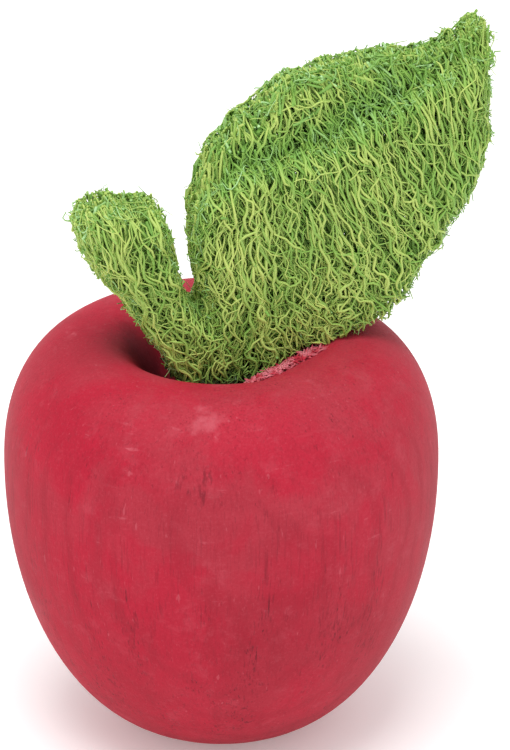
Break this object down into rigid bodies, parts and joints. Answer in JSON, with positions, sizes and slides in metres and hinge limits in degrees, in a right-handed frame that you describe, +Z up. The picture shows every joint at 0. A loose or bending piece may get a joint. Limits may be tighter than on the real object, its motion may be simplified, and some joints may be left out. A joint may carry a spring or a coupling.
{
  "type": "wooden apple chew toy",
  "caption": "Turned wooden apple stained red, with a green leaf and stalk cut as one piece from thick luffa sheet and pushed into its top; a small-animal chew toy.",
  "frame": {"origin": "centre of the small flat spot that the apple rests on, on the turning axis", "axes": "+Z up along the turning axis; +X towards the leaf's tip in the front view; -Y is the front"},
  "size_m": [0.0587, 0.052, 0.087],
  "materials": {
    "stained_wood": "turned and sanded wood with a red water stain, satin, with dark pore streaks and pale rubbed patches",
    "dyed_luffa": "open net of dry plant fibres dyed leaf green, matte, darker inside and bluer on the cut faces"
  },
  "bodies": {
    "root": {"apple_body": "stained_wood", "luffa_leaf": "dyed_luffa"}
  },
  "joints": []
}
